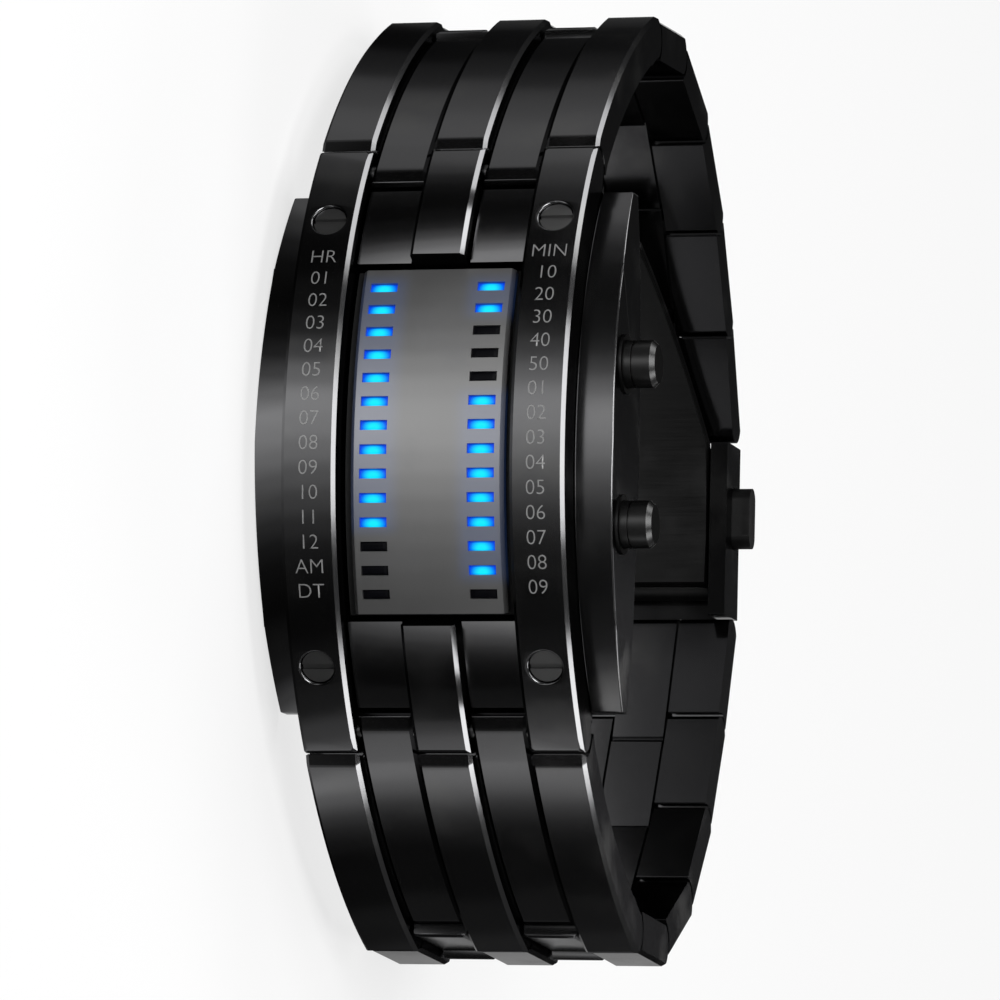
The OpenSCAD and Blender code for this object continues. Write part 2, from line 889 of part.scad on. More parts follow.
// Blade hinged to the cover at its 6 o'clock end
module clasp_middle_blade() {
    color("#1b1c1f") placed() difference() {
        union() {
            intersection() {
                back_band(blade_outer_r - blade_t, blade_outer_r, blade_w / 2, -cover_hinge_angle,
                    blade_tip_angle);
                blade_plan();
            }
            cross_bar(cover_hinge_place, cover_barrel_r, blade_w / 2);
            cross_bar(blade_hinge_place, barrel_r, tip_knuckle / 2);
        }
        cross_bar(cover_hinge_place, blade_pin_r + run_fit, half_band);
        cross_bar(blade_hinge_place, blade_pin_r + run_fit, half_band);
        for (side = [-1, 1]) translate([0, 0, side * (tip_knuckle / 2 + 0.1 + barrel_r * 2)])
            cross_bar(blade_hinge_place, barrel_r + 0.2, 2 * barrel_r);
    }
}

// Blade hinged to the middle blade's tip
module clasp_inner_blade() {
    color("#1b1c1f") placed() difference() {
        union() {
            intersection() {
                back_band(inner_blade_r - blade_t, inner_blade_r, blade_w / 2, -cover_hinge_angle,
                    blade_tip_angle);
                blade_plan();
            }
            for (side = [-1, 1]) translate([0, 0, side * (blade_tip_w / 2 - tip_side_knuckle / 2)])
                cross_bar(blade_hinge_place, barrel_r, tip_side_knuckle / 2);
        }
        cross_bar(blade_hinge_place, blade_pin_r + fit, half_band);
        cross_bar(blade_hinge_place, barrel_r + 0.2, tip_knuckle / 2 + 0.1);
    }
}

module clasp_cover_pin() {
    color("#3a3c40") placed() cross_bar(cover_hinge_place, blade_pin_r, half_band - 0.6);
}

module clasp_blade_pin() {
    color("#3a3c40") placed() cross_bar(blade_hinge_place, blade_pin_r, blade_tip_w / 2);
}

case_frame();
rail_left();
rail_right();
bridge_top();
bridge_bottom();
side_bar_left();
side_bar_right();
rail_screws();
display_plate();
display_bezel();
lamp_chips();
circuit_board();
controller_chip();
quartz_crystal();
battery_cells();
battery_clip();
movement_holder();
case_back();
case_back_gasket();
case_back_screws();
pusher_sleeves();
pusher_seals();
case_pins();
pusher_upper();
pusher_lower();
pusher_spring_upper();
pusher_spring_lower();
link_a1();
link_a2();
link_a3();
link_a4();
link_a5();
link_a6();
link_b1();
link_b2();
link_b3();
link_b4();
link_b5();
link_b6();
pin_a1();
pin_a2();
pin_a3();
pin_a4();
pin_a5();
pin_a6();
pin_b1();
pin_b2();
pin_b3();
pin_b4();
pin_b5();
pin_b6();
clasp_cover();
clasp_middle_blade();
clasp_inner_blade();
clasp_button_left();
clasp_button_right();
clasp_spring_left();
clasp_spring_right();
clasp_cover_pin();
clasp_blade_pin();
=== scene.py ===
import bpy, bmesh, json, math
from mathutils import Matrix, Vector

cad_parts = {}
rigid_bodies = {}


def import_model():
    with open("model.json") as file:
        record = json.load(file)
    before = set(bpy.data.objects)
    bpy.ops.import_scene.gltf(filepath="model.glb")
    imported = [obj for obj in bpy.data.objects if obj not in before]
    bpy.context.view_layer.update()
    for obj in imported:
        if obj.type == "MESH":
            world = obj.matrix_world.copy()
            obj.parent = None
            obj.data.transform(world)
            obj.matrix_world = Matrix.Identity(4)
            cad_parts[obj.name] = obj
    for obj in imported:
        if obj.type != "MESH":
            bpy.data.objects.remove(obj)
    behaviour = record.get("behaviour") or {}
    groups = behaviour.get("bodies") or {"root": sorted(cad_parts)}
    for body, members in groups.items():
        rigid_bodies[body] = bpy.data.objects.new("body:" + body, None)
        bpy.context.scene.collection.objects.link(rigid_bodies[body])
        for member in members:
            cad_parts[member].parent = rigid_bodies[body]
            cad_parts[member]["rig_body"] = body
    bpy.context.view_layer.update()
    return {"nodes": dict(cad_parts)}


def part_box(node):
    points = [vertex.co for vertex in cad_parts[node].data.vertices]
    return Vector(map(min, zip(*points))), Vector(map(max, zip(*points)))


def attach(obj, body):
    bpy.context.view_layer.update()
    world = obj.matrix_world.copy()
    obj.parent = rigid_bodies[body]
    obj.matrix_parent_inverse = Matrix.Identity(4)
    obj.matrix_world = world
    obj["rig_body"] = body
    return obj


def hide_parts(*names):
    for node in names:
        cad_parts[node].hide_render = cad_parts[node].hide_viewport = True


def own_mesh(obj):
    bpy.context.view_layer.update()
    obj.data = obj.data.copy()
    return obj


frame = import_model()
nodes = frame["nodes"]
print("frame loaded:", len(nodes), "nodes")

millimetre = 0.001

# The case's curve has its axis along Z. Its place follows from the rails' own boxes.
caseRadius = 35.4 * millimetre
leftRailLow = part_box("rail_left")[0]
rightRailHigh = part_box("rail_right")[1]
caseCurve = {
    "radius": caseRadius,
    "middle": (leftRailLow[2] + rightRailHigh[2]) / 2,
    "axisY": leftRailLow[1] + caseRadius,
}


def onCurve(angle, radius, side):
    # angle in radians from the middle of the case towards 12 o'clock
    return Vector((-radius * math.sin(angle), caseCurve["axisY"] - radius * math.cos(angle),
                   caseCurve["middle"] + side))


cameraView = {
    "azimuth": 8.0,  # degrees, as the two below
    "elevation": 14.8,
    "roll": 1.45,
    "distance": 0.52,  # metres from the middle of the case's front
    "focalPixels": 6990,
    "frontPixel": (421.6, 433.7),  # where that middle falls in the picture
    "imagePixels": 1000,
    "clipStart": 0.01,
}


def makeCamera(settings):
    azimuth, elevation = math.radians(settings["azimuth"]), math.radians(settings["elevation"])
    back = Vector((math.sin(azimuth) * math.cos(elevation),
                   -math.cos(azimuth) * math.cos(elevation), math.sin(elevation)))
    twelve = Vector((-1, 0, 0))
    up = (twelve - back * twelve.dot(back)).normalized()
    right = up.cross(back)
    roll = math.radians(settings["roll"])
    right, up = (right * math.cos(roll) + up * math.sin(roll),
                 up * math.cos(roll) - right * math.sin(roll))

    front = onCurve(0, caseCurve["radius"], 0)
    eye = front + back * settings["distance"]
    half = settings["imagePixels"] / 2
    pixel = settings["distance"] / settings["focalPixels"]
    across, down = (half - value for value in settings["frontPixel"])
    aim = front + right * across * pixel - up * down * pixel

    look = (eye - aim).normalized()
    side = up.cross(look).normalized()
    turn = Matrix((side, look.cross(side), look)).transposed().to_4x4()
    camera = bpy.data.objects.new("camera", bpy.data.cameras.new("camera"))
    bpy.context.scene.collection.objects.link(camera)
    camera.matrix_world = Matrix.Translation(eye) @ turn
    camera.data.angle = 2 * math.atan(half / settings["focalPixels"])
    camera.data.clip_start = settings["clipStart"]
    bpy.context.scene.camera = camera


makeCamera(cameraView)
bpy.context.scene.view_settings.view_transform = "Standard"
print("camera placed")


def addMesh(name, build):
    shape = bmesh.new()
    build(shape)
    mesh = bpy.data.meshes.new(name)
    shape.to_mesh(mesh)
    shape.free()
    piece = bpy.data.objects.new(name, mesh)
    bpy.context.scene.collection.objects.link(piece)
    return piece


def addNode(tree, kind, inputs=(), **settings):
    node = tree.nodes.new("ShaderNode" + kind)
    for name, value in settings.items():
        setattr(node, name, value)
    for place, value in dict(inputs).items():
        plug(tree, node.inputs[place], value)
    return node


def plug(tree, socket, value):
    if isinstance(value, bpy.types.NodeSocket):
        tree.links.new(value, socket)
    else:
        socket.default_value = value


def mathOf(tree, operation, *values, clamp=False):
    node = addNode(tree, "Math", enumerate(values), operation=operation, use_clamp=clamp)
    return node.outputs[0]


def inMillimetres(tree, value):
    return mathOf(tree, "MULTIPLY", value, 1 / millimetre)


def partsOf(tree, vector):
    return addNode(tree, "SeparateXYZ", {0: vector}).outputs


def softStep(tree, value, low, high, toLow=0.0, toHigh=1.0):
    values = {0: value, 1: low, 2: high, 3: toLow, 4: toHigh}
    return addNode(tree, "MapRange", values, interpolation_type="SMOOTHSTEP").outputs[0]


def mixColour(tree, share, first, second):
    return addNode(tree, "Mix", {0: share, 6: first, 7: second}, data_type="RGBA").outputs[2]


def noiseOf(tree, place, scale, detail=3.0):
    values = {"Vector": place, "Scale": scale, "Detail": detail}
    return addNode(tree, "TexNoise", values).outputs["Fac"]


def stretched(tree, place, scale):
    return addNode(tree, "Mapping", {"Vector": place, "Scale": scale}).outputs[0]


def makeGroup(name, inputs, outputs):
    tree = bpy.data.node_groups.new(name, "ShaderNodeTree")
    for label, kind in inputs:
        tree.interface.new_socket(label, in_out="INPUT", socket_type="NodeSocket" + kind)
    for label, kind in outputs:
        tree.interface.new_socket(label, in_out="OUTPUT", socket_type="NodeSocket" + kind)
    return tree, tree.nodes.new("NodeGroupInput").outputs, tree.nodes.new("NodeGroupOutput").inputs


surfaceWear = {"grainDetail": 4.0, "markScale": 170.0, "markDetail": 5.0, "markRange": (0.5, 0.72)}


def makeFinishGroup(settings):
    # fine grain and faint handling marks, which vary the roughness and the surface
    tree, given, result = makeGroup(
        "surfaceFinish",
        [("Place", "Vector"), ("Grain Scale", "Vector"), ("Roughness", "Float"),
         ("Grain", "Float"), ("Marks", "Float")],
        [("Roughness", "Float"), ("Height", "Float"), ("Marks", "Float")])
    grainPlace = stretched(tree, given["Place"], given["Grain Scale"])
    grain = noiseOf(tree, grainPlace, 1.0, settings["grainDetail"])
    patches = noiseOf(tree, given["Place"], settings["markScale"], settings["markDetail"])
    marks = softStep(tree, patches, *settings["markRange"])
    grained = mathOf(tree, "MULTIPLY_ADD", mathOf(tree, "SUBTRACT", grain, 0.5), given["Grain"],
                     given["Roughness"])
    marked = mathOf(tree, "MULTIPLY_ADD", marks, given["Marks"], grained, clamp=True)
    plug(tree, result["Roughness"], marked)
    plug(tree, result["Height"], grain)
    plug(tree, result["Marks"], marks)
    return tree


# Millimetres over which the lamps' light fades on the plate, beside a column and past its ends
glowFade = {"beside": (0.9, 2.4), "ends": (-0.9, 0.3)}


def makeGlowGroup(settings):
    # light that a lit column of lamps throws on the plate: 1 beside a lamp, 0 away from it
    tree, given, result = makeGroup(
        "columnGlow",
        [("Place", "Vector"), ("Side", "Float"), ("From", "Float"), ("To", "Float")],
        [("Glow", "Float")])
    parts = partsOf(tree, given["Place"])
    along = inMillimetres(tree, parts["X"])
    away = mathOf(tree, "ABSOLUTE", mathOf(tree, "SUBTRACT", parts["Z"], given["Side"]))
    wide = softStep(tree, inMillimetres(tree, away), *settings["beside"], 1.0, 0.0)
    upper = softStep(tree, mathOf(tree, "SUBTRACT", along, given["From"]), *settings["ends"])
    lower = softStep(tree, mathOf(tree, "SUBTRACT", given["To"], along), *settings["ends"])
    ends = mathOf(tree, "MULTIPLY", upper, lower)
    plug(tree, result["Glow"], mathOf(tree, "MULTIPLY", wide, ends))
    return tree


def makeCamberGroup():
    # a height in millimetres that tilts a polished face's reflections as if it were cambered,
    # from Start to End, counted along the case from its middle
    tree, given, result = makeGroup(
        "faceCamber",
        [("Place", "Vector"), ("Start", "Float"), ("End", "Float"), ("Slope", "Float"),
         ("Curve", "Float")],
        [("Height", "Float")])
    along = inMillimetres(tree, mathOf(tree, "ABSOLUTE", partsOf(tree, given["Place"])["X"]))
    along = mathOf(tree, "MAXIMUM", along, given["Start"])
    along = mathOf(tree, "SUBTRACT", mathOf(tree, "MINIMUM", along, given["End"]), given["Start"])
    bend = mathOf(tree, "MULTIPLY", given["Curve"], along)
    steep = mathOf(tree, "SUBTRACT", given["Slope"], bend)
    plug(tree, result["Height"], mathOf(tree, "MULTIPLY", steep, along))
    return tree


finishGroup = makeFinishGroup(surfaceWear)
glowGroup = makeGlowGroup(glowFade)
camberGroup = makeCamberGroup()


def makeMaterial(name):
    material = bpy.data.materials.new(name)
    material.use_nodes = True
    tree = material.node_tree
    return material, tree, tree.nodes["Principled BSDF"].inputs


def objectPlace(tree):
    return addNode(tree, "TexCoord").outputs["Object"]


def useGroup(tree, group, inputs):
    node = addNode(tree, "Group")
    node.node_tree = group
    for label, value in inputs.items():
        plug(tree, node.inputs[label], value)
    return node.outputs


def addFinish(tree, shader, place, settings):
    # base colour and roughness from the shared group, with a finish's own values
    finish = useGroup(tree, finishGroup, {
        "Place": place, "Grain Scale": settings["grainScale"], "Roughness": settings["roughness"],
        "Grain": settings["grain"], "Marks": settings["marks"]})
    plug(tree, shader["Base Color"],
         mixColour(tree, finish["Marks"], settings["colour"], settings["markColour"]))
    plug(tree, shader["Roughness"], finish["Roughness"])
    shader["Metallic"].default_value = settings["metallic"]
    return finish


grainHeight = 0.02 * millimetre  # of the bump that the grain makes


def makeSolid(settings):
    material, tree, shader = makeMaterial(settings["name"])
    place = objectPlace(tree)
    finish = addFinish(tree, shader, place, settings)
    if "specularTint" in settings:
        shader["Specular Tint"].default_value = settings["specularTint"]
    if settings["bump"] > 0:
        bump = addNode(tree, "Bump", {"Height": finish["Height"], "Strength": settings["bump"],
                                      "Distance": grainHeight})
        plug(tree, shader["Normal"], bump.outputs[0])
    if "camber" in settings:
        camber = useGroup(tree, camberGroup, dict(settings["camber"], Place=place))
        bump = addNode(tree, "Bump", {"Height": camber["Height"], "Distance": millimetre})
        plug(tree, shader["Normal"], bump.outputs[0])
    return material


def grey(value, blue=0.0):
    return (value, value, value + blue, 1.0)


fine = (2500.0, 2500.0, 2500.0)
acrossBand = (6000.0, 6000.0, 250.0)
blackSteel = {
    "name": "blackSteel", "colour": grey(0.17, 0.004), "markColour": grey(0.19),
    "roughness": 0.15, "grain": 0.05, "marks": 0.05, "grainScale": fine, "metallic": 1.0,
    "bump": 0.0, "specularTint": grey(0.25)}
solidFinishes = [
    blackSteel,
    dict(blackSteel, name="camberedSteel",
         camber={"Start": 12.6, "End": 21.5, "Slope": 0.66, "Curve": 0.037}),
    dict(blackSteel, name="barSteel",
         camber={"Start": 8.0, "End": 20.0, "Slope": 0.0, "Curve": 0.0045}),
    {"name": "pusherSteel", "colour": grey(0.07), "markColour": grey(0.085), "roughness": 0.3,
     "grain": 0.04, "marks": 0.04, "grainScale": fine, "metallic": 1.0, "bump": 0.02,
     "specularTint": grey(0.25)},
    {"name": "satinBlack", "colour": grey(0.035), "markColour": grey(0.045), "roughness": 0.38,
     "grain": 0.16, "marks": 0.05, "grainScale": acrossBand, "metallic": 1.0, "bump": 0.25,
     "specularTint": grey(0.4)},
    {"name": "pinSteel", "colour": grey(0.32), "markColour": grey(0.25), "roughness": 0.28,
     "grain": 0.1, "marks": 0.1, "grainScale": fine, "metallic": 1.0, "bump": 0.1},
    {"name": "screwSteel", "colour": grey(0.22), "markColour": grey(0.27), "roughness": 0.42,
     "grain": 0.1, "marks": 0.08, "grainScale": (400.0, 6000.0, 400.0), "metallic": 1.0,
     "bump": 0.15, "specularTint": grey(0.5)},
    {"name": "blackPlastic", "colour": grey(0.004), "markColour": grey(0.007),
     "roughness": 0.55, "grain": 0.1, "marks": 0.1, "grainScale": fine, "metallic": 0.0,
     "bump": 0.2},
    {"name": "chipPlastic", "colour": grey(0.03), "markColour": grey(0.045), "roughness": 0.6,
     "grain": 0.15, "marks": 0.05, "grainScale": fine, "metallic": 0.0, "bump": 0.3},
    {"name": "circuitBoard", "colour": (0.012, 0.1, 0.05, 1), "markColour": (0.02, 0.16, 0.08, 1),
     "roughness": 0.35, "grain": 0.1, "marks": 0.1, "grainScale": fine, "metallic": 0.0,
     "bump": 0.2},
    {"name": "cellSteel", "colour": grey(0.6), "markColour": grey(0.52), "roughness": 0.3,
     "grain": 0.15, "marks": 0.1, "grainScale": acrossBand, "metallic": 1.0, "bump": 0.1},
    {"name": "contactBrass", "colour": (0.7, 0.5, 0.22, 1), "markColour": (0.55, 0.38, 0.16, 1),
     "roughness": 0.3, "grain": 0.15, "marks": 0.15, "grainScale": acrossBand, "metallic": 1.0,
     "bump": 0.1},
    {"name": "springSteel", "colour": grey(0.4), "markColour": grey(0.3), "roughness": 0.3,
     "grain": 0.1, "marks": 0.1, "grainScale": (0.0, 0.0, 9000.0), "metallic": 1.0,
     "bump": 1.0},
    {"name": "sealRubber", "colour": grey(0.012), "markColour": grey(0.02), "roughness": 0.75,
     "grain": 0.1, "marks": 0.1, "grainScale": fine, "metallic": 0.0, "bump": 0.4},
]
materials = {settings["name"]: makeSolid(settings) for settings in solidFinishes}
print("materials made")

# Rows are counted from 12 o'clock. Column -1 is on the 9 o'clock side, and 1 on the other.
windows = {
    "rows": 14,
    "pitch": 1.825 * millimetre,
    "plateRadius": 33.9 * millimetre,
    "side": 4.15 * millimetre,
    "lit": {-1: set(range(0, 11)), 1: {0, 1} | set(range(5, 13))},  # rows that are on
}


def rowAngle(row):
    rowTurn = windows["pitch"] / windows["plateRadius"]
    return ((windows["rows"] - 1) / 2 - row) * rowTurn


def litRuns(rows):
    # the first and last row of each unbroken run of lit lamps
    ordered = sorted(rows)
    return zip([row for row in ordered if row - 1 not in rows],
               [row for row in ordered if row + 1 not in rows])


displayMirror = {
    "colour": grey(0.42),
    "markColour": grey(0.39, 0.004),
    "grainScale": (300.0, 300.0, 7000.0),
    "roughness": 0.42,
    "grain": 0.06,
    "marks": 0.03,
    "metallic": 1.0,
    "glowColour": (0.06, 0.2, 0.7, 1.0),
    "glowStrength": 0.08,
    "glowBeyond": 0.4,  # millimetres past the middle of the last lamp
}


def makeMirror(settings):
    material, tree, shader = makeMaterial("displayMirror")
    place = objectPlace(tree)
    addFinish(tree, shader, place, settings)
    total = None
    for side, rows in windows["lit"].items():
        for first, last in litRuns(rows):
            start, end = (-windows["plateRadius"] * math.sin(rowAngle(row)) / millimetre
                          for row in (first, last))
            glow = useGroup(tree, glowGroup, {
                "Place": place, "Side": caseCurve["middle"] + side * windows["side"],
                "From": start - settings["glowBeyond"], "To": end + settings["glowBeyond"]})["Glow"]
            total = glow if total is None else mathOf(tree, "MAXIMUM", total, glow)
    plug(tree, shader["Emission Color"], mixColour(tree, total, grey(0.0), settings["glowColour"]))
    shader["Emission Strength"].default_value = settings["glowStrength"]
    return material


materials["displayMirror"] = makeMirror(displayMirror)

lens = {
    "radius": 33.7 * millimetre,
    "crown": 0.12 * millimetre,
    "crownPower": 4,
    "depth": 1.4 * millimetre,
    "halfWidth": 1.04 * millimetre,
    "halfHeight": 0.367 * millimetre,
    "segments": 6,
}
lampGlow = {
    "centre": (0.5, 0.3),  # of the light in a lens, whose map runs from 0 to 1 both ways
    "spread": (2.0, 1.1),
    "edgeRange": (0.2, 1.05),
    # the top of each lit lens is painted darker: painted shade of the window's upper wall
    "shadeRange": (0.72, 1.0),
    "shade": 0.85,
    "middleColour": (0.005, 0.85, 1.0, 1.0),
    "edgeColour": (0.0, 0.05, 0.72, 1.0),
    "upperShadeColour": (0.0, 0.02, 0.3, 1.0),
    "lensColour": (0.0, 0.09, 0.45, 1.0),
    "lensEdgeColour": (0.0, 0.02, 0.2, 1.0),
    "strength": 0.9,
    "roughness": 0.3,
    "specular": 0.15,
}
lampOff = {
    "colours": (grey(0.0005, 0.0005), grey(0.002, 0.002)),
    "markScale": 900.0,
    "roughness": (0.4, 0.55),
    "specular": 0.1,
}


def makeLitLens(settings):
    material, tree, shader = makeMaterial("lampLit")
    place = partsOf(tree, addNode(tree, "UVMap", uv_map="lens").outputs[0])
    offsets = [mathOf(tree, "MULTIPLY", mathOf(tree, "SUBTRACT", place[axis], centre), spread)
               for axis, (centre, spread) in enumerate(zip(settings["centre"], settings["spread"]))]
    squares = [mathOf(tree, "MULTIPLY", offset, offset) for offset in offsets]
    away = mathOf(tree, "SQRT", mathOf(tree, "ADD", *squares))
    share = softStep(tree, away, *settings["edgeRange"])
    shine = mixColour(tree, share, settings["middleColour"], settings["edgeColour"])
    # painted shade: the lens's emission darkens towards its top edge
    upper = softStep(tree, place[1], *settings["shadeRange"], 0.0, settings["shade"])
    plug(tree, shader["Emission Color"], mixColour(tree, upper, shine, settings["upperShadeColour"]))
    plug(tree, shader["Base Color"],
         mixColour(tree, share, settings["lensColour"], settings["lensEdgeColour"]))
    shader["Emission Strength"].default_value = settings["strength"]
    shader["Roughness"].default_value = settings["roughness"]
    shader["Specular IOR Level"].default_value = settings["specular"]
    return material


def makeDarkLens(settings):
    material, tree, shader = makeMaterial("lampDark")
    marks = noiseOf(tree, objectPlace(tree), settings["markScale"])
    plug(tree, shader["Base Color"], mixColour(tree, marks, *settings["colours"]))
    plug(tree, shader["Roughness"], softStep(tree, marks, 0.0, 1.0, *settings["roughness"]))
    shader["Specular IOR Level"].default_value = settings["specular"]
    return material


def makeLenses(name, cells, settings, material):
    # domed lens blocks in the windows, each with its own 0 to 1 square of the map
    def build(shape):
        layer = shape.loops.layers.uv.new("lens")
        for row, side in cells:
            known = set(shape.verts)
            bmesh.ops.create_grid(shape, x_segments=settings["segments"],
                                  y_segments=settings["segments"], size=1.0)
            face = [vert for vert in shape.verts if vert not in known]
            for loop in (loop for vert in face for loop in vert.link_loops):
                loop[layer].uv = [(value + 1) / 2 for value in loop.vert.co.xy]
            rim = [edge for vert in face for edge in vert.link_edges if edge.is_boundary]
            walls = bmesh.ops.extrude_edge_only(shape, edges=list(dict.fromkeys(rim)))["geom"]
            low = {item for item in walls if isinstance(item, bmesh.types.BMVert)}
            bmesh.ops.contextual_create(
                shape, geom=[item for item in walls if isinstance(item, bmesh.types.BMEdge)
                             and set(item.verts) <= low])
            for vert in [vert for vert in shape.verts if vert not in known]:
                u, v = vert.co.x, vert.co.y
                rise = -settings["depth"]
                if vert not in low:
                    power = settings["crownPower"]
                    rise = settings["crown"] * (1 - u ** power) * (1 - v ** power)
                turn = rowAngle(row) + v * settings["halfHeight"] / windows["plateRadius"]
                vert.co = onCurve(turn, settings["radius"] + rise,
                                  side * windows["side"] + u * settings["halfWidth"])
        bmesh.ops.recalc_face_normals(shape, faces=shape.faces)

    piece = addMesh(name, build)
    piece.data.materials.append(material)
    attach(piece, "case")
    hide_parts("lamp_chips")


allCells = [(row, side) for side in (-1, 1) for row in range(windows["rows"])]
litCells = [(row, side) for row, side in allCells if row in windows["lit"][side]]
darkCells = [cell for cell in allCells if cell not in litCells]
makeLenses("litLenses", litCells, lens, makeLitLens(lampGlow))
makeLenses("darkLenses", darkCells, lens, makeDarkLens(lampOff))
print("lenses made")

marks = {
    "size": 1.6 * millimetre,
    "thinner": 0.022 * millimetre,  # what a stroke loses at each edge
    "curveSteps": 4,
    "side": 8.75 * millimetre,
    "lift": 0.012 * millimetre,  # off the rail's face
    "pitch": 0.0526,  # radians from one mark to the next
    "first": {-1: 0.4038, 1: 0.410},  # radians from the middle of the case
    "words": {
        -1: ["HR"] + ["%02d" % hour for hour in range(1, 13)] + ["AM", "DT"],
        1: ["MIN"] + ["%02d" % minute for minute in (*range(10, 60, 10), *range(1, 10))],
    },
    "colours": (grey(0.26), grey(0.36)),
    "speckScale": 3500.0,
    "speckRange": (0.2, 0.8),
    "roughness": (0.5, 0.6),
    "metallic": 0.6,
}


def textMesh(words, settings):
    curve = bpy.data.curves.new("markText", "FONT")
    curve.body = words
    curve.size = settings["size"]
    curve.offset = -settings["thinner"]
    curve.align_x, curve.align_y = "CENTER", "CENTER"
    curve.resolution_u = settings["curveSteps"]
    item = bpy.data.objects.new("markText", curve)
    bpy.context.scene.collection.objects.link(item)
    shown = item.evaluated_get(bpy.context.evaluated_depsgraph_get())
    mesh = bpy.data.meshes.new_from_object(shown)
    bpy.data.objects.remove(item)
    bpy.data.curves.remove(curve)
    return mesh


def makeMarks(settings):
    material, tree, shader = makeMaterial("markPaint")
    speck = noiseOf(tree, objectPlace(tree), settings["speckScale"])
    plug(tree, shader["Base Color"], mixColour(tree, speck, *settings["colours"]))
    plug(tree, shader["Roughness"],
         softStep(tree, speck, *settings["speckRange"], *settings["roughness"]))
    shader["Metallic"].default_value = settings["metallic"]

    def build(shape):
        for side, words in settings["words"].items():
            for number, word in enumerate(words):
                mesh = textMesh(word, settings)
                start = len(shape.verts)
                shape.from_mesh(mesh)
                bpy.data.meshes.remove(mesh)
                shape.verts.ensure_lookup_table()
                angle = settings["first"][side] - number * settings["pitch"]
                for vert in shape.verts[start:]:
                    turn = angle + vert.co.y / caseCurve["radius"]
                    vert.co = onCurve(turn, caseCurve["radius"] + settings["lift"],
                                      side * settings["side"] + vert.co.x)
        bmesh.ops.recalc_face_normals(shape, faces=shape.faces)

    piece = addMesh("hourMarks", build)
    if piece.data.polygons[0].normal.y > 0:  # the figures face the front
        piece.data.flip_normals()
    piece.data.materials.append(material)
    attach(piece, "case")


makeMarks(marks)
print("marks made")

nodesOfFinish = {
    "camberedSteel": ["bridge_top", "bridge_bottom", "case_frame"],
    "barSteel": ["side_bar_left", "side_bar_right"],
    "pusherSteel": ["pusher_upper", "pusher_lower", "pusher_sleeves"],
    "satinBlack": ["case_back", "clasp_middle_blade", "clasp_inner_blade", "clasp_button_left",
                   "clasp_button_right"],
    "screwSteel": ["rail_screws", "case_back_screws"],
    "pinSteel": ["case_pins", "clasp_cover_pin", "clasp_blade_pin"],
    "displayMirror": ["display_plate"],
    "blackPlastic": ["display_bezel", "movement_holder"],
    "chipPlastic": ["controller_chip"],
    "circuitBoard": ["circuit_board"],
    "cellSteel": ["quartz_crystal", "battery_cells"],
    "contactBrass": ["battery_clip"],
    "sealRubber": ["case_back_gasket", "pusher_seals"],
}
finishOfNode = {name: finish for finish, names in nodesOfFinish.items() for name in names}
for name, node in nodes.items():
    finish = finishOfNode.get(name, "blackSteel")
    if name.startswith("pin_"):
        finish = "pinSteel"
    if "spring" in name:
        finish = "springSteel"
    node.data.materials.clear()
    node.data.materials.append(materials[finish])
print("finishes set")

# Merged copies that stand for their nodes. Edge, cross and ring are the widths that edges are
# softened by: the long ones, those across the band and the short ones of a screw hole's rim.
# They, a lip and a travel are in millimetres, and a turn is in degrees.
softened = {
    "side_bar_left": {"piece": "leftBar", "edge": 0.12},
    "side_bar_right": {"piece": "rightBar", "edge": 0.12},
    "rail_left": {"piece": "leftRail", "cross": 0.1, "ring": 0.16},
    "rail_right": {"piece": "rightRail", "cross": 0.1, "ring": 0.16},
    "pusher_upper": {"piece": "upperPusher"},
    "pusher_lower": {"piece": "lowerPusher"},
    "clasp_cover": {"piece": "claspTop", "cross": 0.1, "lip": 0.22},
    "clasp_button_left": {"piece": "leftButton", "edge": 0.3},
    "clasp_button_right": {"piece": "rightButton", "edge": 0.3},
    "rail_screws": {"piece": "turnedScrews", "turn": 90, "slot": "screw_steel"},
}
for piece, name, joint, travel, fixedEnd in (
        ("upperSpring", "pusher_spring_upper", "pusher_upper_press", 0.8, "low"),
        ("lowerSpring", "pusher_spring_lower", "pusher_lower_press", 0.8, "low"),
        ("leftClaspSpring", "clasp_spring_left", "clasp_button_left_press", 1.0, "high"),
        ("rightClaspSpring", "clasp_spring_right", "clasp_button_right_press", 1.0, "low")):
    softened[name] = {"piece": piece, "joint": joint, "travel": travel, "fixedEnd": fixedEnd,
                      "slot": "spring_steel"}
linksASide = 6
for letter, word in (("a", "upper"), ("b", "lower")):
    for number in range(1, linksASide + 1):
        longLink = number == 1  # the one beside the case
        softened["link_%s%d" % (letter, number)] = {
            "piece": "%sLink%d" % (word, number), "cross": 0.1 if longLink else 0.3,
            "slope": longLink}

# Which edges are softened, and how. Lengths are in millimetres and angles in degrees.
edgeRules = {
    "sharpFrom": 45,  # an edge that may be softened turns further than this
    "crossLength": 0.3,  # an edge across the band is longer than this
    "crossShare": 0.45,  # and lies across it for more than this share of its length
    "stripAngle": 5,  # strips of one curved face meet at less than this
    "stripWidth": 1.2,  # a strip is short below this many widths of the rounding
    "stripRounds": 3,
    "segments": 5,
}


def isSharp(edge):
    limit = math.radians(edgeRules["sharpFrom"])
    return edge.is_manifold and edge.calc_face_angle_signed() > limit


def isCross(edge):
    run = edge.verts[1].co - edge.verts[0].co
    return (run.length > edgeRules["crossLength"] * millimetre
            and abs(run.z) > edgeRules["crossShare"] * run.length)


def edgeMiddle(edge):
    return (edge.verts[0].co + edge.verts[1].co) / 2


def bevelEdges(shape, edges, width, segments):
    bmesh.ops.bevel(shape, geom=edges, offset=width * millimetre, offset_type="OFFSET",
                    affect="EDGES", segments=segments, profile=0.5, material=-1,
                    loop_slide=False, clamp_overlap=False)


def softEdges(shape, width, wanted):
    if width:
        edges = [edge for edge in shape.edges if isSharp(edge) and wanted(edge)]
        bevelEdges(shape, edges, width, edgeRules["segments"])


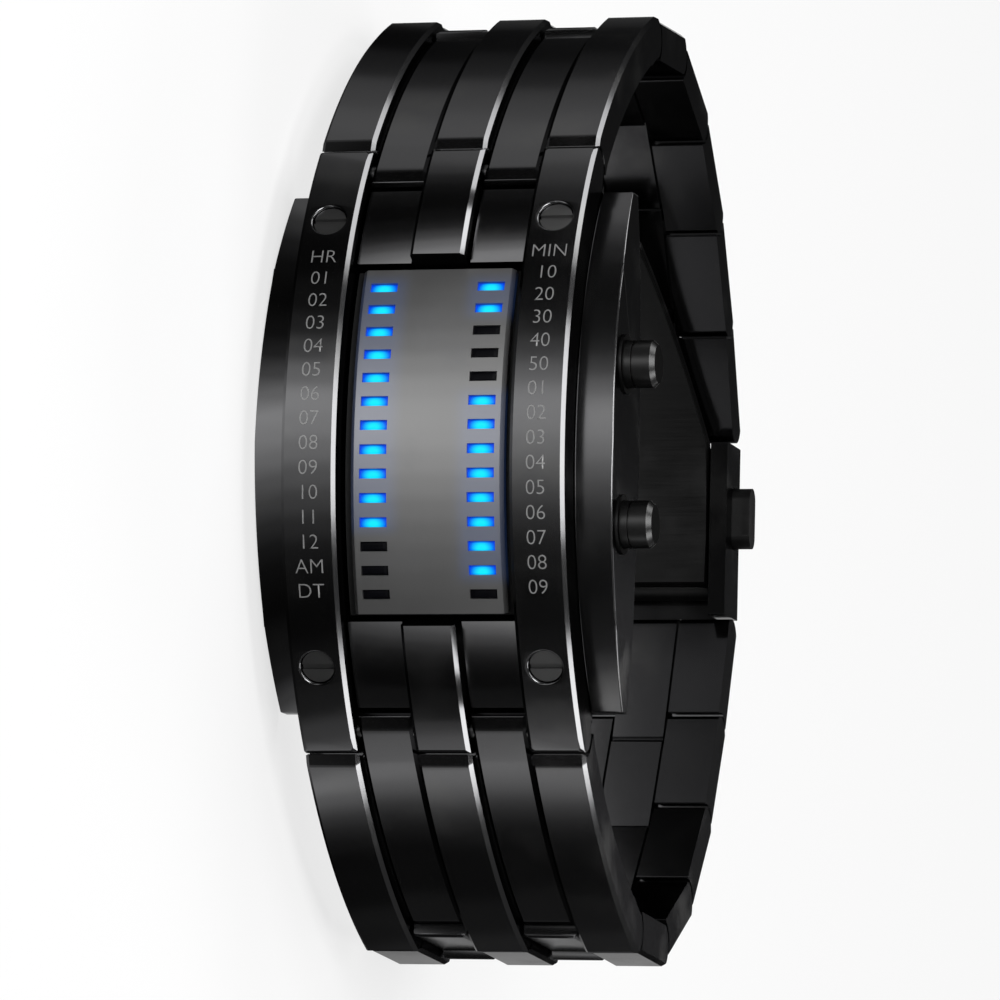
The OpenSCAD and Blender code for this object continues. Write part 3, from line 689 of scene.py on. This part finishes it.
def joinStrips(shape, width):
    # a short strip beside an end is joined to the next one, so that the rounding has room
    flat = math.radians(edgeRules["stripAngle"])
    near = edgeRules["stripWidth"] * width * millimetre
    for _ in range(edgeRules["stripRounds"]):
        short = []
        for end in [edge for edge in shape.edges if isSharp(edge) and isCross(edge)]:
            for other in (edge for face in end.link_faces for edge in face.edges):
                if (other.is_manifold and isCross(other)
                        and abs(other.calc_face_angle_signed()) < flat
                        and (edgeMiddle(other) - edgeMiddle(end)).length < near):
                    short.append(other)
        if not short:
            return
        bmesh.ops.dissolve_edges(shape, edges=list(dict.fromkeys(short)), use_verts=True)


# The outer faces of the long links slope down over their last stretch. Lengths in millimetres.
endSlope = {
    "run": 0.95,
    "fall": 0.36,  # as a share of the run
    "reach": 0.45,  # how deep below the outer face it takes points along
    "slack": 0.05,  # how far a point may be off its line
    "crease": 0.15,  # width that the fold between face and slope is rounded by
    "creaseFrom": 10,  # degrees
    "creaseSegments": 4,
    "outward": 0.5,  # how squarely an outer face looks away from the loop's middle
    "digits": 4,  # ends that are equal to so many decimals of a metre are one
}


def outerEnds(shape, settings):
    ends = {}
    for edge in [edge for edge in shape.edges if isSharp(edge) and isCross(edge)]:
        middle = edgeMiddle(edge)
        outward = Vector((middle.x, middle.y, 0)).normalized()
        face = max(edge.link_faces, key=lambda face: face.normal.dot(outward))
        normal = Vector((face.normal.x, face.normal.y, 0)).normalized()
        if normal.dot(outward) > settings["outward"]:
            inward = Vector((-normal.y, normal.x, 0))
            if inward.dot(face.calc_center_median() - middle) < 0:
                inward.negate()
            place = tuple(round(value, settings["digits"]) for value in middle.xy)
            ends[place] = (middle, normal, inward)
    return list(ends.values())


def slopeEnds(shape, settings):
    run, reach, slack = (settings[key] * millimetre for key in ("run", "reach", "slack"))
    for middle, normal, inward in outerEnds(shape, settings):
        cut = bmesh.ops.bisect_plane(shape, geom=shape.verts[:] + shape.edges[:] + shape.faces[:],
                                     plane_co=middle + inward * run, plane_no=inward)
        for vert in shape.verts:
            away = vert.co - middle
            along, depth = away.dot(inward), -away.dot(normal)
            if -slack < along < run - slack and -slack < depth < reach:
                vert.co -= normal * (run - along) * settings["fall"]
        shape.normal_update()
        crease = [edge for edge in cut["geom_cut"] if isinstance(edge, bmesh.types.BMEdge)
                  and edge.is_manifold
                  and edge.calc_face_angle_signed() > math.radians(settings["creaseFrom"])
                  and -(edgeMiddle(edge) - middle).dot(normal) < reach]
        bevelEdges(shape, crease, settings["crease"], settings["creaseSegments"])


def turnIslands(shape, degrees):
    # each screw turns about its own axis, so that its slot lies across the rail
    left = dict.fromkeys(shape.verts)
    while left:
        island, found = {}, {next(iter(left)): None}
        while found:
            island.update(found)
            near = [vert for known in found for edge in known.link_edges for vert in edge.verts]
            found = dict.fromkeys(vert for vert in near if vert not in island)
        for vert in island:
            del left[vert]
        centre = sum((vert.co for vert in island), Vector()) / len(island)
        axis = Vector((centre.x, centre.y - caseCurve["axisY"], 0)).normalized()
        bmesh.ops.rotate(shape, verts=list(island), cent=centre,
                         matrix=Matrix.Rotation(math.radians(degrees), 3, axis))


def lengthenEnd(shape, lip, within):
    # the cover's free end closes most of its parting gap
    freeEnd = max(vert.co.x for vert in shape.verts)
    for vert in shape.verts:
        if vert.co.x > freeEnd - within:
            vert.co.x += lip


def shortenWithJoint(piece):
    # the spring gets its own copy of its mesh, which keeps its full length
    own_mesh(piece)


meshCare = {
    "mergeWithin": 0.002 * millimetre,
    "flatWithin": math.radians(0.4),
    "endWithin": 0.01 * millimetre,
    "longEdge": 0.6 * millimetre,
    "closeWithin": 0.0005 * millimetre,  # points that the bevels leave this near are one
    "smoothUpTo": math.radians(35),
}


def makeSoftened(name, settings, care):
    cross = settings.get("cross", 0)

    def build(shape):
        shape.from_mesh(nodes[name].data)
        bmesh.ops.remove_doubles(shape, verts=shape.verts, dist=care["mergeWithin"])
        bmesh.ops.dissolve_limit(shape, angle_limit=care["flatWithin"], verts=shape.verts,
                                 edges=shape.edges)
        if cross:
            joinStrips(shape, cross)
        if "lip" in settings:
            lengthenEnd(shape, settings["lip"] * millimetre, care["endWithin"])
        if settings.get("slope"):
            slopeEnds(shape, endSlope)
        if "turn" in settings:
            turnIslands(shape, settings["turn"])
        softEdges(shape, cross, isCross)
        softEdges(shape, settings.get("edge", 0),
                  lambda edge: edge.calc_length() > care["longEdge"])
        softEdges(shape, settings.get("ring", 0),
                  lambda edge: edge.calc_length() < care["longEdge"])
        bmesh.ops.remove_doubles(shape, verts=shape.verts, dist=care["closeWithin"])

    piece = addMesh(settings["piece"], build)
    oldNormals = piece.data.attributes.get("custom_normal")
    if oldNormals:  # the node's own, which no longer fit
        piece.data.attributes.remove(oldNormals)
    piece.data.shade_smooth()
    piece.data.set_sharp_from_angle(angle=care["smoothUpTo"])
    piece.modifiers.new("evenNormals", "WEIGHTED_NORMAL").keep_sharp = True
    piece.data.materials.clear()
    piece.data.materials.append(nodes[name].data.materials[0])
    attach(piece, nodes[name]["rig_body"])
    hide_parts(name)
    if "joint" in settings:
        shortenWithJoint(piece)


for name, settings in softened.items():
    makeSoftened(name, settings, meshCare)
print("softened pieces made")

studio = {
    "floorSize": 3.0,
    "floorColour": grey(0.82),
    "floorShade": 0.3,
    "worldLight": 0.1,
    "lights": [  # name, place, size and power
        ("frontBox", (-0.10, -0.60, 0.42), (0.45, 0.30), 3.4),
        ("overheadMiddle", (-0.06, -0.10, 0.42), (0.22, 0.16), 0.5),
        ("overheadTwelve", (-0.46, 0.08, 0.42), (0.34, 0.34), 1.2),
        ("overheadSix", (0.27, 0.02, 0.42), (0.16, 0.20), 0.5),
        ("backBox", (0.15, 0.70, 0.45), (0.5, 0.3), 2.5),
    ],
    # What the curved front mirrors of the floor: (angle of the surface in degrees, brightness)
    "reflector": [(-75, 0.12), (-66, 0.05), (-60, 0.02), (-54, 0.015), (-52, 0.03), (-50, 0.06),
                  (-48.5, 0.13), (-47, 0.26), (-46, 0.45), (-44, 0.8), (-42, 0.5), (-38, 0.2),
                  (-34, 0.05), (-30, 0.03), (-24, 0.01), (-18, 0.02), (-15, 0.04), (-12, 0.1),
                  (-9, 0.22), (-6, 0.4), (-3, 0.7), (0, 0.98), (3, 1.15), (6, 0.65), (9, 0.25),
                  (12, 0.07), (15, 0.025), (20, 0.01), (26, 0.02), (30, 0.05), (34, 0.15),
                  (38, 0.36), (42, 0.42), (46, 0.34), (52, 0.12), (58, 0.04), (65, 0.3), (75, 0.8)],
    "reflectorStart": -3.8 * millimetre,  # from the case's curve
    "reflectorReach": 0.25,
    "reflectorHeight": 0.05 * millimetre,
}


def makeShader(name):
    material = bpy.data.materials.new(name)
    material.use_nodes = True
    material.node_tree.nodes.clear()
    return material, material.node_tree


def makeFloor(settings):
    floor = addMesh("floor", lambda shape: bmesh.ops.create_grid(
        shape, x_segments=1, y_segments=1, size=settings["floorSize"]))
    material, tree = makeShader("whiteFloor")
    path = addNode(tree, "LightPath").outputs
    seen = mathOf(tree, "MAXIMUM", path["Is Camera Ray"], path["Is Glossy Ray"])
    seen = mathOf(tree, "MAXIMUM", seen, path["Is Transmission Ray"])
    paint = addNode(tree, "BsdfDiffuse", {"Color": settings["floorColour"]})
    glow = addNode(tree, "Emission")
    share = mathOf(tree, "MULTIPLY", seen, 1 - settings["floorShade"])
    mixed = addNode(tree, "MixShader", {0: share, 1: paint.outputs[0], 2: glow.outputs[0]})
    plug(tree, addNode(tree, "OutputMaterial").inputs["Surface"], mixed.outputs[0])
    floor.data.materials.append(material)


def makeReflector(settings):
    # a graded card on the floor, in the shape of a fan about the case, which only the gloss shows
    sight = math.radians(cameraView["azimuth"])
    lastRib = len(settings["reflector"]) - 1

    def build(shape):
        layer = shape.verts.layers.float.new("level")
        bmesh.ops.create_grid(shape, x_segments=lastRib, y_segments=1, size=1.0)
        for vert in shape.verts:
            rib = round((vert.co.x + 1) / 2 * lastRib)
            degrees, vert[layer] = settings["reflector"][rib]
            angle = math.radians(degrees)
            away = 2 * angle + sight  # a mirror turns the sight by twice its own angle
            reach = settings["reflectorReach"] if vert.co.y > 0 else 0.0
            place = onCurve(angle, caseCurve["radius"] + settings["reflectorStart"], 0)
            place += Vector((-math.sin(away), -math.cos(away), 0)) * reach
            vert.co = (place.x, place.y, settings["reflectorHeight"])

    card = addMesh("reflectorCard", build)
    material, tree = makeShader("gradedCard")
    level = addNode(tree, "Attribute", attribute_name="level").outputs["Fac"]
    glow = addNode(tree, "Emission", {"Strength": level})
    plug(tree, addNode(tree, "OutputMaterial").inputs["Surface"], glow.outputs[0])
    card.data.materials.append(material)
    for kind in ("camera", "diffuse", "transmission", "volume_scatter", "shadow"):
        setattr(card, "visible_" + kind, False)


def makeWorld(settings):
    world = bpy.data.worlds.new("studioWorld")
    bpy.context.scene.world = world
    world.use_nodes = True
    tree = world.node_tree
    tree.nodes.clear()
    light = addNode(tree, "Background", {"Color": grey(1.0), "Strength": settings["worldLight"]})
    white = addNode(tree, "Background", {"Color": grey(1.0)})
    seen = addNode(tree, "LightPath").outputs["Is Camera Ray"]
    mixed = addNode(tree, "MixShader", {0: seen, 1: light.outputs[0], 2: white.outputs[0]})
    plug(tree, addNode(tree, "OutputWorld").inputs["Surface"], mixed.outputs[0])


def makeLights(settings):
    centre = onCurve(0, caseCurve["radius"], 0)
    for name, place, size, power in settings["lights"]:
        data = bpy.data.lights.new(name, "AREA")
        data.shape = "RECTANGLE"
        data.size, data.size_y = size
        data.energy = power
        lamp = bpy.data.objects.new(name, data)
        bpy.context.scene.collection.objects.link(lamp)
        turn = (Vector(place) - centre).to_track_quat("Z", "Y").to_matrix().to_4x4()
        lamp.matrix_world = Matrix.Translation(place) @ turn


makeFloor(studio)
makeReflector(studio)
makeWorld(studio)
makeLights(studio)
print("studio ready")
